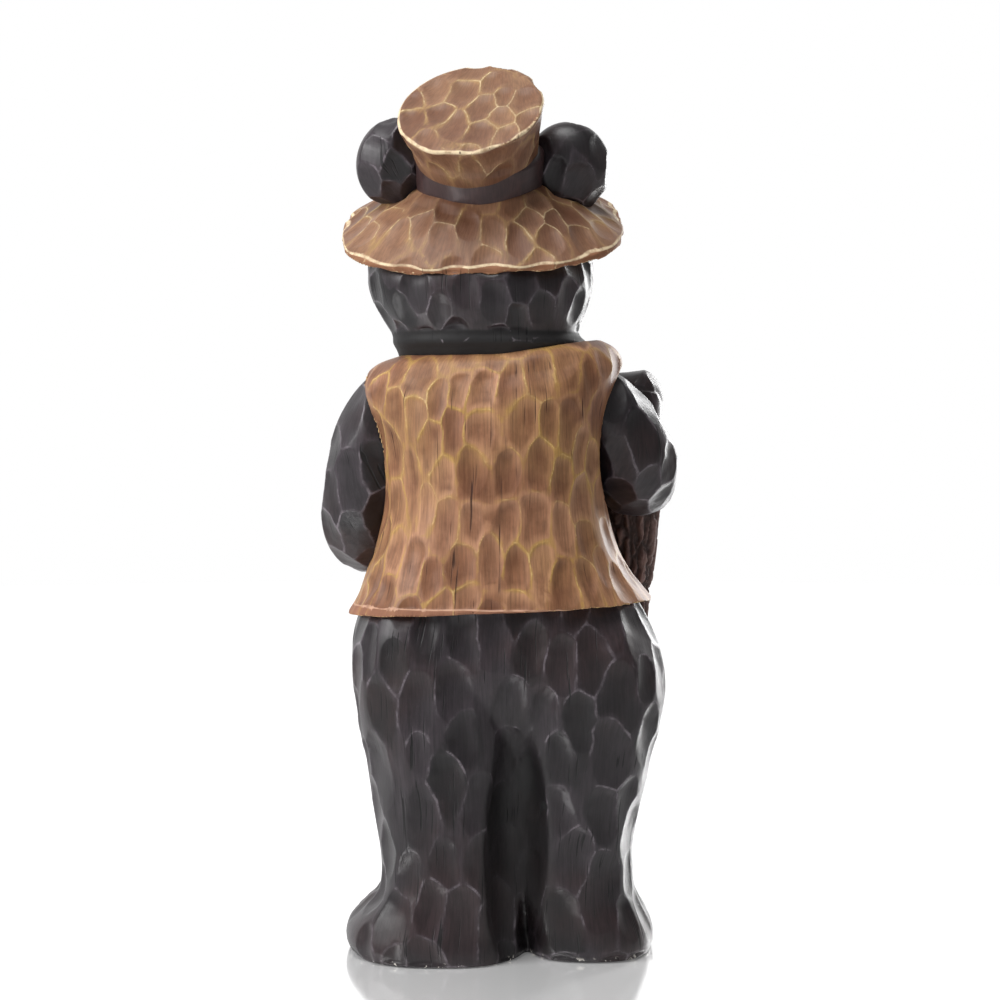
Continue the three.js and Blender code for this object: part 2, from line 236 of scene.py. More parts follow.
# Gouge strokes laid one after another over a surface: an arched top, a longer tail below
def makeGougeTree():
    number = "NodeSocketFloat"
    tree, given, result = newGroup("gougeCuts", "GeometryNodeTree", [
        ("Geometry", "NodeSocketGeometry", None), ("Width", number, 0.04), ("Length", number, 0.07),
        ("Depth", number, 0.005), ("Tail", number, 0.6), ("Vary", number, 0.3),
        ("Wander", number, 0.25), ("Seed", "NodeSocketInt", 1), ("Lip Height", number, -1.0),
        ("Lip Wave", number, 0.0), ("Finish", "NodeSocketMaterial", None),
    ], [("Geometry", "NodeSocketGeometry")])
    wide, tall = given.outputs["Width"], given.outputs["Length"]
    seed = given.outputs["Seed"]
    place = tree.nodes.new("GeometryNodeInputPosition").outputs[0]
    normal = tree.nodes.new("GeometryNodeInputNormal").outputs[0]
    pace = calc(tree, "DIVIDE", 0.8, wide)
    stir = vec(tree, "SUBTRACT", noise(tree, place, pace, 2.0, 0.5, "Color"), (0.5, 0.5, 0.5))
    stir = grown(tree, stir, times(tree, wide, given.outputs["Wander"]))
    base = store(tree, given.outputs["Geometry"], "facing", normal, "FLOAT_VECTOR")
    base = store(tree, base, "spot", vec(tree, "ADD", place, stir), "FLOAT_VECTOR")
    base = store(tree, base, "cut", (9.0, 9.0, 0.5), "FLOAT_VECTOR")

    squash = xyz(tree, 1.0, 1.0, calc(tree, "DIVIDE", wide, tall))
    low = node(tree, "GeometryNodeSetPosition",
               {"Geometry": base, "Position": vec(tree, "MULTIPLY", place, squash)}).outputs[0]
    crowd = calc(tree, "DIVIDE", 5.0, times(tree, wide, wide))
    dots = node(tree, "GeometryNodeDistributePointsOnFaces",
                {"Mesh": low, "Distance Min": times(tree, wide, 0.86), "Density Max": crowd,
                 "Seed": seed}, distribute_method="POISSON").outputs["Points"]
    dots = node(tree, "GeometryNodeSetPosition",
                {"Geometry": dots, "Position": vec(tree, "DIVIDE", place, squash)}).outputs[0]
    count = node(tree, "GeometryNodeAttributeDomainSize", {0: dots}, component="POINTCLOUD")

    first = tree.nodes.new("GeometryNodeRepeatInput")
    last = tree.nodes.new("GeometryNodeRepeatOutput")
    first.pair_with_output(last)
    tree.links.new(count.outputs["Point Count"], first.inputs["Iterations"])
    tree.links.new(base, first.inputs["Geometry"])
    turn = first.outputs["Iteration"]

    def sample(value):
        return node(tree, "GeometryNodeSampleIndex", {"Geometry": dots, "Value": value, "Index": turn},
                    data_type="FLOAT_VECTOR", domain="POINT").outputs[0]

    def chance(low, high, which):
        return node(tree, "FunctionNodeRandomValue",
                    {2: low, 3: high, "ID": turn, "Seed": plus(tree, seed, which)},
                    data_type="FLOAT").outputs[1]

    centre, up = sample(place), sample(recall(tree, "facing"))
    sway = xyz(tree, chance(-0.16, 0.16, 1), chance(-0.16, 0.16, 2), -1.0)
    along = vec(tree, "SUBTRACT", sway, grown(tree, up, dot(tree, sway, up)))
    along = vec(tree, "NORMALIZE", along)
    away = vec(tree, "SUBTRACT", recall(tree, "spot"), centre)
    run = dot(tree, away, along)
    aside = less(tree, dot(tree, away, away), times(tree, run, run))
    back = calc(tree, "MAXIMUM", times(tree, run, -1.0), 0.0)
    above = calc(tree, "DIVIDE", back, times(tree, tall, 0.4))
    below = calc(tree, "DIVIDE", calc(tree, "MAXIMUM", run, 0.0), times(tree, tall, 0.95))
    spread = plus(tree, 1.0, times(tree, below, given.outputs["Tail"]))
    half = times(tree, wide, 0.56)
    wider = times(tree, times(tree, half, half), spread)
    across = calc(tree, "DIVIDE", aside, wider)
    lengthways = plus(tree, times(tree, above, above), times(tree, below, below))
    level = plus(tree, across, lengthways)
    vary = given.outputs["Vary"]
    size = plus(tree, 1.0, times(tree, chance(-0.7, 0.7, 3), vary))
    level = plus(tree, times(tree, level, size), times(tree, chance(0.0, 0.9, 4), vary))
    apart = less(tree, 0.35, dot(tree, recall(tree, "facing"), up))
    level = plus(tree, level, times(tree, calc(tree, "MAXIMUM", apart, 0.0), 5.0))
    best, second, tone = parts(tree, recall(tree, "cut"))
    wins = calc(tree, "LESS_THAN", level, best)
    tone = plus(tree, tone, times(tree, wins, less(tree, chance(0.0, 1.0, 5), tone)))
    second = calc(tree, "MINIMUM", second, calc(tree, "MAXIMUM", best, level))
    best = calc(tree, "MINIMUM", best, level)
    again = store(tree, first.outputs["Geometry"], "cut", xyz(tree, best, second, tone), "FLOAT_VECTOR")
    tree.links.new(again, last.inputs["Geometry"])

    best, second, tone = parts(tree, recall(tree, "cut"))
    height = parts(tree, place)[2]
    rise = less(tree, height, given.outputs["Lip Height"])
    free = step(tree, rise, 0.0, 0.004)
    standing = step(tree, height, 0.0, 0.006)
    marked = store(tree, last.outputs["Geometry"], "edge", less(tree, second, best))
    marked = store(tree, marked, "tone", tone)
    # the lip band; on the head's neck roll the fur's finish paints it with shade
    marked = store(tree, marked, "lip", less(tree, 1.0, free))
    amount = less(tree, calc(tree, "MINIMUM", best, 1.0), 1.0)
    amount = times(tree, amount, times(tree, free, standing))
    amount = times(tree, amount, less(tree, 1.0, recall(tree, "still", "FLOAT")))
    inward = grown(tree, normal, times(tree, amount, given.outputs["Depth"]))
    wave = less(tree, noise(tree, place, 16.0, 2.0), 0.5)
    wave = times(tree, wave, times(tree, given.outputs["Lip Wave"], 2.0))
    near = step(tree, rise, 0.002, 0.03, 1.0, 0.0)
    lifted = xyz(tree, 0.0, 0.0, times(tree, wave, near))
    moved = node(tree, "GeometryNodeSetPosition",
                 {"Geometry": marked, "Offset": vec(tree, "ADD", inward, lifted)}).outputs[0]
    for spent in ("facing", "spot", "cut", "still"):
        moved = node(tree, "GeometryNodeRemoveAttribute", {"Geometry": moved, "Name": spent}).outputs[0]
    finishOff(tree, moved, given.outputs["Finish"], result)
    return tree


def carve(piece, tree, values):
    mod = piece.modifiers.new("carving", "NODES")
    mod.node_group = tree
    for item in tree.interface.items_tree:
        if item.item_type == "SOCKET" and item.in_out == "INPUT" and item.name in values:
            mod[item.identifier] = values[item.name]
    return settle(piece)


# Meshes: joined into one skin, carved, thinned, and marked where they stand out
def meshOf(name, solids):
    points = np.vstack([p for p, _ in solids]) * mm + shift
    faces, start = [], 0
    for p, solidFaces in solids:
        faces += [tuple(start + i for i in face) for face in solidFaces]
        start += len(p)
    mesh = bpy.data.meshes.new(name)
    mesh.from_pydata(points.tolist(), [], faces)
    work = bmesh.new()
    work.from_mesh(mesh)
    bmesh.ops.recalc_face_normals(work, faces=work.faces)
    work.to_mesh(mesh)
    work.free()
    piece = bpy.data.objects.new(name, mesh)
    bpy.context.collection.objects.link(piece)
    return piece


def settle(piece):  # the evaluated result becomes the piece's own mesh
    dg = bpy.context.evaluated_depsgraph_get()
    mesh = bpy.data.meshes.new_from_object(piece.evaluated_get(dg), preserve_all_data_layers=True,
                                           depsgraph=dg)
    mesh.name = piece.name
    piece.modifiers.clear()
    piece.data = mesh
    return piece


def remesh(piece, voxel):
    mod = piece.modifiers.new("whole", "REMESH")
    mod.mode = "VOXEL"
    mod.voxel_size = voxel * mm
    mod.use_smooth_shade = True
    return settle(piece)


def relax(piece, rounds):
    mod = piece.modifiers.new("relax", "SMOOTH")
    mod.factor = 0.5
    mod.iterations = rounds
    return settle(piece)


def thin(piece, most):
    tris = sum(len(p.vertices) - 2 for p in piece.data.polygons)
    if tris > most:
        mod = piece.modifiers.new("thin", "DECIMATE")
        mod.ratio = most / tris
        mod.use_collapse_triangulate = True
        settle(piece)
    return piece


def cut(piece, cutter):
    mod = piece.modifiers.new("cut", "BOOLEAN")
    mod.object = cutter
    mod.operation = "DIFFERENCE"
    mod.solver = "MANIFOLD"
    settle(piece)
    bpy.data.objects.remove(cutter)
    return piece


def readPoints(mesh, what="co"):
    out = np.empty(len(mesh.vertices) * 3, np.float32)
    mesh.vertices.foreach_get(what, out)
    return out.reshape(-1, 3).astype(float)


def keepInside(piece):  # no point outside the frame's own box
    points = np.clip(readPoints(piece.data), np.array(cadLow) + 1e-6, np.array(cadHigh) - 1e-6)
    piece.data.vertices.foreach_set("co", points.astype(np.float32).ravel())
    piece.data.update()
    return piece


def markBends(piece, soft=10):  # how sharply each point stands out, close to and over a wider patch
    mesh = piece.data
    points, normals = readPoints(mesh), readPoints(mesh, "normal")
    edges = np.empty(len(mesh.edges) * 2, np.int32)
    mesh.edges.foreach_get("vertices", edges)
    a, b = edges.reshape(-1, 2).T
    n = len(points)
    links = np.maximum(np.bincount(a, minlength=n) + np.bincount(b, minlength=n), 1)

    def around(values):
        out = np.bincount(a, values[b], n) + np.bincount(b, values[a], n)
        return out / links

    length = np.linalg.norm(points[a] - points[b], axis=1)
    mean = (np.bincount(a, length, n) + np.bincount(b, length, n)) / links
    ring = np.column_stack([around(points[:, k]) for k in range(3)])
    bend = np.einsum("ij,ij->i", points - ring, normals) / mean ** 2 * mm * 2
    sharp = 0.5 * bend + 0.5 * around(bend)
    broad = sharp.copy()
    for _ in range(soft):
        broad = 0.5 * broad + 0.5 * around(broad)
    for name, values in (("ridge", sharp), ("bulge", broad)):
        layer = mesh.attributes.new(name, "FLOAT", "POINT")
        layer.data.foreach_set("value", values.astype(np.float32))
    return piece


# Shader groups that several finishes share
def makeGrainGroup():
    number = "NodeSocketFloat"
    tree, given, result = newGroup("woodGrain", "ShaderNodeTree", [
        ("Vector", "NodeSocketVector", None), ("Crack Amount", number, 0.5),
    ], [("Streaks", number), ("Cracks", number), ("Mottle", number)])
    place = given.outputs["Vector"]
    bent = vec(tree, "ADD", place, grown(tree, noise(tree, place, 7.0, 1.0, 0.5, "Color"), 0.008))
    x, y, z = parts(tree, bent)
    turn = times(tree, calc(tree, "ARCTAN2", x, y), 0.17)
    out = node(tree, "ShaderNodeVectorMath", {0: xyz(tree, x, y)}, operation="LENGTH").outputs["Value"]
    radial = xyz(tree, turn, out, z)
    streaks = noise(tree, vec(tree, "MULTIPLY", radial, (1.0, 0.2, 0.05)), 420.0, 5.0, 0.7)
    checks = noise(tree, vec(tree, "MULTIPLY", radial, (1.0, 0.02, 0.03)), 420.0, 1.0)
    patches = noise(tree, place, 15.0, 2.0)
    level = less(tree, 0.84, times(tree, given.outputs["Crack Amount"], 0.16))
    uneven = times(tree, less(tree, patches, 0.5), 0.4)
    level = less(tree, level, uneven)
    cracks = times(tree, less(tree, checks, level), 22.0, True)
    rise = parts(tree, tree.nodes.new("ShaderNodeNewGeometry").outputs["Normal"])[2]
    upright = step(tree, calc(tree, "ABSOLUTE", rise), 0.25, 0.5, 1.0, 0.0)
    cracks = times(tree, cracks, upright)
    mottle = noise(tree, place, 11.0, 4.0, 0.6)
    for label, socket in (("Streaks", streaks), ("Cracks", cracks), ("Mottle", mottle)):
        tree.links.new(socket, result.inputs[label])
    return tree


def makeWearAndShadeGroup():
    number = "NodeSocketFloat"
    tree, given, result = newGroup("ridgeWearAndShade", "ShaderNodeTree", [
        ("Vector", "NodeSocketVector", None), ("Edge", number, 1.0), ("Ridge", number, 0.0),
        ("Bulge", number, 0.0), ("Line", number, 0.15), ("Wash", number, 0.9),
        ("Broken", number, 0.5), ("Keen", number, 0.1), ("Corner", number, 0.3),
    ], [("Line", number), ("Wash", number), ("CreaseShade", number), ("Centre", number)])
    place = given.outputs["Vector"]
    edge = given.outputs["Edge"]
    gaps = step(tree, noise(tree, place, 24.0, 3.0, 0.6), 0.38, 0.64)
    line = step(tree, calc(tree, "DIVIDE", edge, given.outputs["Line"]), 0.25, 1.0, 1.0, 0.0)
    keen = step(tree, calc(tree, "DIVIDE", given.outputs["Ridge"], given.outputs["Keen"]), 0.0, 1.0)
    line = times(tree, line, keen)
    corner = step(tree, less(tree, given.outputs["Ridge"], given.outputs["Corner"]), 0.0, 0.12)
    keep = less(tree, 1.0, times(tree, given.outputs["Broken"], less(tree, 1.0, gaps)))
    line = calc(tree, "MAXIMUM", times(tree, line, keep), corner)
    line = times(tree, line, step(tree, noise(tree, place, 130.0, 2.0), 0.3, 0.6, 0.35, 1.0))
    # the wash beside ridges: a glaze on the wood, and on the fur a painted highlight
    wobble = step(tree, noise(tree, place, 60.0, 3.0, 0.6), 0.2, 0.8, 0.5, 1.5)
    wash = step(tree, calc(tree, "DIVIDE", times(tree, edge, wobble), given.outputs["Wash"]),
                0.1, 1.0, 1.0, 0.0)
    patch = step(tree, noise(tree, place, 13.0, 3.0, 0.6), 0.36, 0.62, 0.15, 1.0)
    wash = times(tree, wash, patch)
    # painted shade: concave bends are darkened as if shade lay in the creases
    hollow = step(tree, given.outputs["Bulge"], -0.02, -0.16)
    centre = times(tree, step(tree, edge, 0.2, 1.5),
                  step(tree, noise(tree, place, 30.0, 4.0, 0.6), 0.3, 0.7, 0.5, 1.0))
    for label, socket in (("Line", line), ("Wash", wash), ("CreaseShade", hollow), ("Centre", centre)):
        tree.links.new(socket, result.inputs[label])
    return tree


def srgb(r, g, b):
    return tuple(((c / 255 + 0.055) / 1.055) ** 2.4 if c > 10.3 else c / 255 / 12.92
                 for c in (r, g, b)) + (1.0,)


def blend(tree, factor, a, b, mode="MIX"):
    made = node(tree, "ShaderNodeMix", {"Factor": factor}, data_type="RGBA", blend_type=mode)
    for index, value in ((6, a), (7, b)):
        if isinstance(value, bpy.types.NodeSocket):
            tree.links.new(value, made.inputs[index])
        else:
            made.inputs[index].default_value = value
    return made.outputs[2]


def startMaterial(name):
    material = bpy.data.materials.new(name)
    material.use_nodes = True
    tree = material.node_tree
    shader = tree.nodes["Principled BSDF"]
    place = tree.nodes.new("ShaderNodeTexCoord").outputs["Object"]
    return material, tree, shader, place


def attribute(tree, name):
    return node(tree, "ShaderNodeAttribute", attribute_name=name).outputs["Fac"]


grainGroup = makeGrainGroup()
wearAndShadeGroup = makeWearAndShadeGroup()


def makeStainAndShade(name, values):  # a stained, washed and worn wood, with painted shade in creases; on the fur also painted shade in the legs' recess and on the neck roll, and a painted highlight beside the ridges
    material, tree, shader, place = startMaterial(name)
    grain = node(tree, "ShaderNodeGroup", node_tree=grainGroup)
    tree.links.new(place, grain.inputs["Vector"])
    grain.inputs["Crack Amount"].default_value = values["cracks"]
    wearAndShade = node(tree, "ShaderNodeGroup", node_tree=wearAndShadeGroup)
    tree.links.new(place, wearAndShade.inputs["Vector"])
    for label in ("Edge", "Ridge", "Bulge"):
        tree.links.new(attribute(tree, label.lower()), wearAndShade.inputs[label])
    for label in ("Line", "Wash", "Broken", "Keen", "Corner"):
        wearAndShade.inputs[label].default_value = values[label.lower()]
    shade = plus(tree, times(tree, attribute(tree, "tone"), values["facets"]),
                 times(tree, grain.outputs["Mottle"], 1.0 - values["facets"]))
    colour = blend(tree, step(tree, shade, 0.25, 0.75), values["deep"], values["light"])
    tinted = step(tree, noise(tree, place, 5.0, 3.0, 0.6), 0.45, 0.62, 0.0, values["tinting"])
    colour = blend(tree, tinted, colour, values["tint"])
    sunk = times(tree, wearAndShade.outputs["Centre"], values["sunk"])
    colour = blend(tree, sunk, colour, values["centre"])
    # a glaze beside the ridges; on the fur this grey wash is a painted highlight
    glazeAndHighlightMask = times(tree, wearAndShade.outputs["Wash"], values["glazeAndHighlightAmount"])
    colour = blend(tree, glazeAndHighlightMask, colour, values["glazeAndHighlight"])
    streak = step(tree, grain.outputs["Streaks"], 0.32, 0.68, 1.0 - values["streaks"],
                  1.0 + values["streaks"] * 0.6)
    dark = node(tree, "ShaderNodeCombineColor", {0: streak, 1: streak, 2: streak}).outputs[0]
    colour = blend(tree, 1.0, colour, dark, "MULTIPLY")
    # painted shade in creases and concave bends, in the finish's hollow colour
    colour = blend(tree, times(tree, wearAndShade.outputs["CreaseShade"], 0.75), colour, values["hollow"])
    # the lip mask takes the rim colour: a real lip or rim on the vest and hat, painted shade on the fur
    lip = attribute(tree, "lip")
    colour = blend(tree, times(tree, lip, values["rimAndShadeAmount"]), colour, values["rim"])
    halfway = times(tree, times(tree, lip, less(tree, 1.0, lip)), 4.0)
    chipped = step(tree, noise(tree, place, 70.0, 3.0, 0.6), 0.3, 0.6, 0.3, 1.0)
    lipLine = times(tree, chipped, values["lipLine"])
    lipLine = times(tree, step(tree, halfway, 0.3, 1.0), lipLine)
    colour = blend(tree, lipLine, colour, values["lipEdge"])
    rubbed = times(tree, wearAndShade.outputs["Line"], values["shine"])
    colour = blend(tree, rubbed, colour, values["worn"])
    colour = blend(tree, times(tree, grain.outputs["Cracks"], 0.85), colour, values["crack"])
    low = step(tree, parts(tree, place)[2], 0.002, 0.009, 1.0, 0.0)  # chips along the foot
    flakes = step(tree, noise(tree, place, 95.0, 3.0, 0.6), 0.6, 0.64)
    colour = blend(tree, times(tree, low, flakes), colour, values["chip"])
    tree.links.new(colour, shader.inputs["Base Color"])
    rough = plus(tree, values["rough"] - 0.08, times(tree, grain.outputs["Mottle"], 0.16))
    rough = plus(tree, rough, times(tree, grain.outputs["Cracks"], 0.3))
    rough = plus(tree, rough, times(tree, lip, 0.25))
    tree.links.new(rough, shader.inputs["Roughness"])
    relief = less(tree, times(tree, grain.outputs["Streaks"], 0.5), grain.outputs["Cracks"])
    bump = node(tree, "ShaderNodeBump", {"Height": relief, "Distance": 0.0009, "Strength": 0.45})
    tree.links.new(bump.outputs[0], shader.inputs["Normal"])
    shader.inputs["Specular IOR Level"].default_value = values["gloss"]
    return material


gougeTree = makeGougeTree()


def carvedPiece(name, sizes, finish, lipHeight=-1.0, lipWave=0.0, piece=None):
    piece = piece or meshOf(name, forms[name])
    remesh(piece, sizes["voxel"])
    hollow = sizes.get("hollow")
    if hollow:
        cut(piece, meshOf("hollow", [ball(hollow["at"], hollow["half"])]))
        remesh(piece, sizes["voxel"])
    relax(piece, 24 if hollow else 3)
    if "still" in sizes:
        points = (readPoints(piece.data) - shift) / mm
        layer = piece.data.attributes.new("still", "FLOAT", "POINT")  # 1 where nothing is gouged
        layer.data.foreach_set("value", sizes["still"](points).astype(np.float32))
    gouge = sizes["gouge"]
    carve(piece, gougeTree, {
        "Width": gouge["width"] * mm, "Length": gouge["length"] * mm, "Depth": gouge["depth"] * mm,
        "Tail": gouge["tail"], "Vary": gouge["vary"], "Wander": gouge["wander"],
        "Seed": gouge["seed"], "Lip Height": lipHeight, "Lip Wave": lipWave, "Finish": finish})
    thin(piece, sizes["most"])
    markBends(keepInside(piece))
    # a mark overwrites the lip mask: the hat's rims, and painted shade in the legs' recess
    if "mark" in sizes:
        points = (readPoints(piece.data) - shift) / mm
        lip = piece.data.attributes["lip"]
        lip.data.foreach_set("value", sizes["mark"](points).astype(np.float32))
    print(name, "carved,", len(piece.data.polygons), "faces")
    return piece


# Fur: the legs, trunk, arms and head are one near-black stain over a gouged surface
fur = {
    "deep": srgb(23, 19, 22), "light": srgb(50, 43, 48), "tint": srgb(54, 36, 36), "tinting": 0.6,
    # the fur's grey wash is a painted highlight beside the ridges
    "centre": srgb(22, 18, 20), "sunk": 0.4, "glazeAndHighlight": srgb(66, 58, 64), "glazeAndHighlightAmount": 0.4,
    # the fur's rim colour is painted shade, in the legs' recess and on the neck roll
    "worn": srgb(156, 146, 154), "shine": 0.44, "rim": srgb(12, 10, 11), "rimAndShadeAmount": 0.92, "lipLine": 0.0,
    # the hollow colour is painted shade in creases
    "lipEdge": srgb(60, 56, 60), "crack": srgb(10, 9, 10), "hollow": srgb(16, 14, 15),
    "chip": srgb(226, 220, 210), "rough": 0.42, "gloss": 0.5, "line": 0.24, "wash": 0.6, "broken": 0.9,
    "keen": 0.06, "corner": 0.16, "facets": 0.5, "cracks": 0.9, "streaks": 0.36,
}
furStainAndShade = makeStainAndShade("furStainAndShade", fur)

legs = {
    "left": [
        [0, -44, 197, -158, 145, 2.5],
        [18, -44, 205, -162, 150, 2.5],
        [38, -42, 200, -158, 149, 2.5],
        [62, -40, 178, -138, 146, 2.8],
        [85, -38, 159, -120, 145, 2.7],
        [125, -37, 156, -112, 145, 2.6],
        [185, -36, 165, -112, 147, 2.6],
        [265, -34, 179, -120, 152, 2.6],
        [345, -30, 192, -128, 154, 2.8],
        [420, -20, 193, -134, 150, 2.8],
        [500, -10, 165, -120, 130, 2.8],
    ],
    "right": [
        [0, -208, -34, -152, 114, 2.7],
        [18, -211, -34, -156, 119, 2.7],
        [38, -206, -32, -152, 119, 2.7],
        [62, -193, -28, -134, 118, 2.8],
        [85, -184, -22, -118, 119, 2.7],
        [125, -182, -18, -112, 122, 2.6],
        [185, -189, -16, -112, 129, 2.6],
        [265, -209, -12, -120, 140, 2.6],
        [345, -225, -6, -128, 150, 2.8],
        [420, -213, 10, -134, 150, 2.8],
        [500, -170, 10, -120, 130, 2.8],
    ],
    "hips": [
        [215, -34, -8, -40, 50, 2.0],
        [262, -74, 30, -84, 92, 2.1],
        [306, -124, 88, -112, 124, 2.3],
        [350, -186, 156, -136, 146, 2.6],
        [390, -216, 190, -152, 154, 2.8],
        [430, -208, 193, -160, 153, 2.8],
        [500, -165, 168, -168, 146, 2.8],
        [560, -140, 145, -160, 135, 2.8],
    ],
    "toes": [(74, 66, -150, 4), (-72, 42, -146, 3)],  # middle, spread, front, how many
    "toeHalf": (24, 34, 25),
    "hollow": {"at": (-27, 152, 140), "half": (44, 70, 184), "round": 6},  # between them, behind
    "voxel": 2.5,
    "most": 190000,
    "gouge": {"width": 42, "length": 72, "depth": 7.5, "tail": 1.4, "vary": 0.5, "wander": 0.4, "seed": 3},
}


def toesOf(middle, spread, front, count):
    solids = []
    for i in range(count):
        across = 2 * i / (count - 1) - 1
        at = (middle + across * spread, front + 22 * across ** 2, legs["toeHalf"][2] + 1)
        solids.append(ball(at, legs["toeHalf"], (0, 0, across * 16)))
    return solids


def legForms():
    solids = [stack(legs["left"]), stack(legs["right"]), stack(legs["hips"])]
    for toes in legs["toes"]:
        solids += toesOf(*toes)
    return solids


def insideHollow(points, reach=1.12, fade=0.3):  # painted shade lies dark in the recess there
    hollow = legs["hollow"]
    half = np.array(hollow["half"]) + hollow["round"]
    out = np.linalg.norm((points - hollow["at"]) / half, axis=1)
    return np.clip((reach - out) / fade, 0, 1)


def besideHollow(points):  # and the gouging is slighter
    return 0.7 * insideHollow(points, 1.2, 0.34)


# painted shade: the recess between the legs is darkened through the lip mask
legs["mark"] = insideHollow
legs["still"] = besideHollow

vest = {
    "rows": [
        [462, -208, 201, -176, 164, 3.0],
        [482, -194, 188, -180, 161, 2.9],
        [505, -178, 179, -184, 158, 2.8],
        [545, -160, 164, -187, 154, 2.7],
        [600, -146, 153, -184, 151, 2.7],
        [655, -142, 157, -172, 151, 2.7],
        [710, -147, 171, -156, 149, 2.7],
        [745, -158, 180, -144, 142, 2.7],
        [766, -168, 179, -132, 132, 2.6],
        [784, -158, 161, -120, 122, 2.5],
        [796, -138, 130, -106, 108, 2.4],
    ],
    "neckRise": (0.15, 690),  # for each millimetre towards -X, above this height
    "hemRise": (0.045, 545),  # and below this one
    "neckEdge": (30, 20),  # left nearly unscooped from here up, and over how much it fades
    "thickness": 13,
    "opening": [(66, 830), (40, 690), (38, 620), (44, 540), (104, 430)],  # half width, height
    "openingCentre": 10,
    "armhole": (62, 92, 688),  # half depth, half height, height
    "lip": 2,
    "wave": 3,
    "voxel": 1.9,
    "most": 190000,
    "gouge": {"width": 32, "length": 56, "depth": 5.2, "tail": 1.1, "vary": 0.5, "wander": 0.42, "seed": 8},
    "stain": {
        "deep": srgb(136, 92, 66), "light": srgb(180, 133, 101), "tint": srgb(166, 126, 84), "tinting": 0.6,
        "centre": srgb(108, 68, 46), "sunk": 0.8, "glazeAndHighlight": srgb(174, 137, 72), "glazeAndHighlightAmount": 0.8,
        "worn": srgb(218, 186, 128), "shine": 0.8, "rim": srgb(146, 100, 78), "rimAndShadeAmount": 0.6,
        "lipLine": 0.8, "lipEdge": srgb(206, 164, 138), "crack": srgb(56, 34, 26),
        # the hollow colour is painted shade in creases
        "hollow": srgb(92, 60, 44), "chip": srgb(226, 220, 210), "rough": 0.5, "gloss": 0.35,
        "line": 0.2, "wash": 0.44, "broken": 0.6, "keen": 0.12, "corner": 0.26, "facets": 0.45,
        "cracks": 0.85, "streaks": 0.24,
    },
}

trunk = {
    "voxel": 3.2,
    "most": 60000,
    "gouge": {"width": 44, "length": 72, "depth": 4.5, "tail": 1.4, "vary": 0.3, "wander": 0.3, "seed": 5},
}


def trunkForms():  # the fur under the vest: the vest's own rows, drawn in by its thickness
    t = vest["thickness"]
    rows = [[z, x0 + t, x1 - t, y0 + t, y1 - t, sq] for z, x0, x1, y0, y1, sq in vest["rows"]]
    return [stack(rows, lift=vestLift)]


def besideNeck(points):  # the top edge of the vest is cut nearly straight
    top = vest["rows"][-1][0] + vest["neckRise"][0] * np.maximum(0, -points[:, 0])
    deep, fade = vest["neckEdge"]
    return 0.9 * np.clip((points[:, 2] - top + deep) / fade, 0, 1)


vest["still"] = besideNeck


def vestLift(x, z):
    low, high = vest["rows"][0][0], vest["rows"][-1][0]
    up, above = vest["neckRise"]
    down, below = vest["hemRise"]
    return (up * np.maximum(0, -x) * max(0, (z - above) / (high - above))
            - down * x * max(0, (below - z) / (below - low)))


def makeVest():
    piece = meshOf("vest", forms["vest"])
    points = eased([[w, 0, z] for w, z in vest["opening"]], 8)
    outline = [(-w, z) for w, _, z in points] + [(w, z) for w, _, z in points[::-1]]
    rings = [np.array([[x + vest["openingCentre"], y, z] for x, z in outline]) for y in (-50, -250)]
    cut(piece, meshOf("opening", [skin(rings)]))
    deep, high, at = vest["armhole"]
    a = angles(64)
    for side in (-1, 1):
        rings = [np.column_stack([np.full(64, side * 190 + end), 4 + deep * np.cos(a),
                                  at + high * np.sin(a)]) for end in (-70, 70)]
        cut(piece, meshOf("armhole", [skin(rings)]))
    lip = (vest["rows"][0][0] + vest["lip"]) * mm + float(shift[2])
    finish = makeStainAndShade("vestStainAndShade", vest["stain"])
    return carvedPiece("vest", vest, finish, lip, vest["wave"] * mm, piece)


arms = {
    "left": [
        [120, 14, 758, 34, 38],
        [142, 13, 732, 48, 50],
        [166, 8, 686, 54, 55],
        [180, -2, 620, 57, 57],
        [182, -32, 563, 54, 57],
        [154, -92, 549, 50, 51],
        [104, -146, 566, 45, 45],
        [66, -176, 582, 42, 44],
    ],
    "right": [
        [-102, 14, 766, 34, 38],
        [-128, 13, 738, 48, 50],
        [-162, 8, 700, 55, 55],
        [-186, -8, 650, 58, 57],
        [-190, -52, 628, 53, 53],
        [-190, -104, 652, 46, 46],
        [-189, -136, 704, 43, 43],
        [-190, -146, 744, 42, 40],
    ],
    "leftPaw": {"at": (52, -178, 588), "half": (52, 30, 42), "turn": (0, 0, -14),
                "row": (-6, 0, 30), "reach": (-44, -4, 0), "lift": (-7, 0, 0)},
    "rightPaw": {"at": (-191, -147, 744), "half": (44, 33, 40), "turn": (8, 0, 0),
                 "row": (26, 0, 0), "reach": (4, -21, 15), "lift": (0, 0, 7)},
    "fingerHalf": (15, 20, 15),
    "fingers": 4,
    "voxel": 2.1,
    "most": 130000,
    "gouge": {"width": 40, "length": 66, "depth": 6.0, "tail": 1.4, "vary": 0.45, "wander": 0.42,
              "seed": 9},
}


def fingersOf(paw):
    solids = []
    for i in range(arms["fingers"]):
        across = 2 * i / (arms["fingers"] - 1) - 1
        at = (np.array(paw["at"]) + np.array(paw["row"]) * across + paw["reach"]
              - np.array(paw["lift"]) * across ** 2)
        solids.append(ball(at, arms["fingerHalf"], paw["turn"]))
    return solids


def armForms():
    solids = [limb(arms["left"]), limb(arms["right"])]
    for paw in (arms["leftPaw"], arms["rightPaw"]):
        solids.append(ball(paw["at"], paw["half"], paw["turn"]))
        solids += fingersOf(paw)
    return solids


